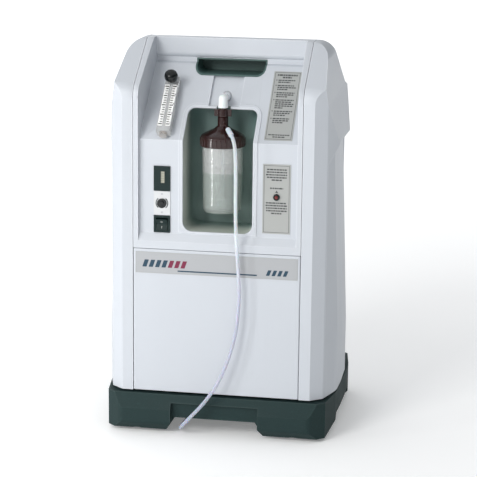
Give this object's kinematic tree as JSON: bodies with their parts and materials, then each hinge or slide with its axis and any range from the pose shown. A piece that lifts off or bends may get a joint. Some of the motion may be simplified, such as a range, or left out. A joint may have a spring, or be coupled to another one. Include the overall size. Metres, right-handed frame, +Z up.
{
  "type": "oxygen concentrator",
  "caption": "Floor-standing oxygen concentrator cabinet on casters, with a recessed control panel, flowmeter, bottle humidifier and clear supply tube.",
  "frame": {"origin": "on the floor under the middle of the cabinet and base", "axes": "+Z up, -Y out of the control panel, +X to the right of a user who faces the panel"},
  "size_m": [0.419, 0.5044, 0.699],
  "materials": {
    "cabinet_shell": "fine texture",
    "base_black": "grained",
    "well_grey": "fine texture",
    "band_film": "satin print",
    "label_film": "satin",
    "lid_brown": "gloss",
    "jar_clear": "clear",
    "water": "clear",
    "meter_clear": "clear",
    "nickel_fitting": "turned",
    "pocket_teal": "fine texture",
    "black_gloss": "gloss",
    "dark_control": "satin",
    "meter_window": "gloss",
    "float_black": "gloss",
    "switch_plate": "brushed",
    "elbow_white": "satin",
    "lamp_red": "gloss",
    "vinyl_clear": "clear vinyl",
    "vinyl_soft": "soft vinyl",
    "gasket_rubber": "matt",
    "foam_grey": "open cell",
    "rear_dark": "grained",
    "screw_steel": "plated",
    "fork_steel": "satin",
    "caster_tread": "matt",
    "chassis_steel": "plated",
    "pump_metal": "cast",
    "copper_pipe": "drawn",
    "canister_metal": "drawn",
    "tank_plastic": "moulded",
    "fan_plastic": "moulded",
    "board_green": "laminate"
  },
  "bodies": {
    "root": {"left_side_shell": "cabinet_shell", "right_side_shell": "cabinet_shell", "front_upper_panel": "cabinet_shell", "humidifier_well": "well_grey", "grip_pocket": "pocket_teal", "front_door": "cabinet_shell", "door_band": "band_film", "hour_meter": "dark_control", "hour_meter_window": "meter_window", "breaker_plate": "switch_plate", "circuit_breaker": "black_gloss", "rocker_housing": "dark_control", "instruction_labels": "label_film", "alarm_light": "lamp_red", "flowmeter_body": "meter_clear", "flowmeter_fittings": "nickel_fitting", "oxygen_outlet": "elbow_white", "humidifier_elbow": "elbow_white", "humidifier_lid": "lid_brown", "lid_gasket": "gasket_rubber", "diffuser_tube": "vinyl_soft", "tube_cuff": "vinyl_soft", "supply_tube": "vinyl_clear", "tube_coil": "vinyl_clear", "tube_connector": "vinyl_soft", "base_tray": "base_black", "rear_panel": "cabinet_shell", "panel_screws": "screw_steel", "filter_grille": "rear_dark", "power_inlet": "rear_dark", "chassis_plate": "chassis_steel", "compressor_body": "pump_metal", "compressor_heads": "pump_metal", "isolation_mounts": "gasket_rubber", "fan_frame": "fan_plastic", "sieve_beds": "canister_metal", "product_tank": "tank_plastic", "valve_manifold": "pump_metal", "exhaust_muffler": "tank_plastic", "intake_filter": "tank_plastic", "cooling_coil": "copper_pipe", "control_board": "board_green", "run_capacitor": "canister_metal"},
    "flow_knob": {"flow_knob": "black_gloss"},
    "flow_float": {"flow_float": "float_black"},
    "power_rocker": {"power_rocker": "dark_control"},
    "breaker_button": {"breaker_button": "black_gloss"},
    "wing_nut": {"wing_nut": "lid_brown"},
    "jar": {"humidifier_jar": "jar_clear", "humidifier_water": "water"},
    "cabinet_filter": {"cabinet_filter": "foam_grey"},
    "fan_rotor": {"fan_rotor": "fan_plastic"},
    "caster_fork_front_left": {"caster_fork_front_left": "fork_steel"},
    "caster_wheel_front_left": {"caster_wheel_front_left": "caster_tread"},
    "caster_fork_front_right": {"caster_fork_front_right": "fork_steel"},
    "caster_wheel_front_right": {"caster_wheel_front_right": "caster_tread"},
    "caster_fork_rear_left": {"caster_fork_rear_left": "fork_steel"},
    "caster_wheel_rear_left": {"caster_wheel_rear_left": "caster_tread"},
    "caster_fork_rear_right": {"caster_fork_rear_right": "fork_steel"},
    "caster_wheel_rear_right": {"caster_wheel_rear_right": "caster_tread"}
  },
  "joints": [
    {"name": "flow_knob_turn", "type": "hinge", "parent": "root", "child": "flow_knob", "pos_m": [-0.097, -0.08929, 0.62675], "axis": [0, -0.7071, 0.7071], "range_deg": [-222, 497]},
    {"name": "flow_float_rise", "type": "slide", "parent": "root", "child": "flow_float", "axis": [0, 0.7071, 0.7071], "range_m": [-0.026, 0.058]},
    {"name": "power_rocker_tip", "type": "hinge", "parent": "root", "child": "power_rocker", "pos_m": [-0.0992, -0.157, 0.382], "axis": [1, 0, 0], "range_deg": [-16, 0]},
    {"name": "breaker_button_trip", "type": "slide", "parent": "root", "child": "breaker_button", "axis": [0, -1, 0], "range_m": [0, 0.005]},
    {"name": "wing_nut_turn", "type": "hinge", "parent": "root", "child": "wing_nut", "pos_m": [0, -0.115, 0.577], "axis": [0, 0, 1], "range_deg": [0, 720]},
    {"name": "jar_unscrew", "type": "hinge", "parent": "root", "child": "jar", "pos_m": [0, -0.115, 0.465], "axis": [0, 0, 1], "range_deg": [-270, 0]},
    {"name": "filter_pull", "type": "slide", "parent": "root", "child": "cabinet_filter", "axis": [0, 1, 0], "range_m": [0, 0.05]},
    {"name": "fan_spin", "type": "hinge", "parent": "root", "child": "fan_rotor", "pos_m": [0, 0.01, 0.25], "axis": [0, 0, 1], "continuous": true},
    {"name": "caster_front_left_swivel", "type": "hinge", "parent": "root", "child": "caster_fork_front_left", "pos_m": [-0.142, -0.137, 0.05], "axis": [0, 0, 1], "continuous": true},
    {"name": "caster_front_left_roll", "type": "hinge", "parent": "caster_fork_front_left", "child": "caster_wheel_front_left", "pos_m": [-0.142, -0.125, 0.02], "axis": [1, 0, 0], "continuous": true},
    {"name": "caster_front_right_swivel", "type": "hinge", "parent": "root", "child": "caster_fork_front_right", "pos_m": [0.142, -0.137, 0.05], "axis": [0, 0, 1], "continuous": true},
    {"name": "caster_front_right_roll", "type": "hinge", "parent": "caster_fork_front_right", "child": "caster_wheel_front_right", "pos_m": [0.142, -0.125, 0.02], "axis": [1, 0, 0], "continuous": true},
    {"name": "caster_rear_left_swivel", "type": "hinge", "parent": "root", "child": "caster_fork_rear_left", "pos_m": [-0.142, 0.137, 0.05], "axis": [0, 0, 1], "continuous": true},
    {"name": "caster_rear_left_roll", "type": "hinge", "parent": "caster_fork_rear_left", "child": "caster_wheel_rear_left", "pos_m": [-0.142, 0.149, 0.02], "axis": [1, 0, 0], "continuous": true},
    {"name": "caster_rear_right_swivel", "type": "hinge", "parent": "root", "child": "caster_fork_rear_right", "pos_m": [0.142, 0.137, 0.05], "axis": [0, 0, 1], "continuous": true},
    {"name": "caster_rear_right_roll", "type": "hinge", "parent": "caster_fork_rear_right", "child": "caster_wheel_rear_right", "pos_m": [0.142, 0.149, 0.02], "axis": [1, 0, 0], "continuous": true}
  ],
  "couplings": [
    {"joint": "flow_float_rise", "follows": "flow_knob_turn", "m_per_rad": 0.0066845}
  ]
}
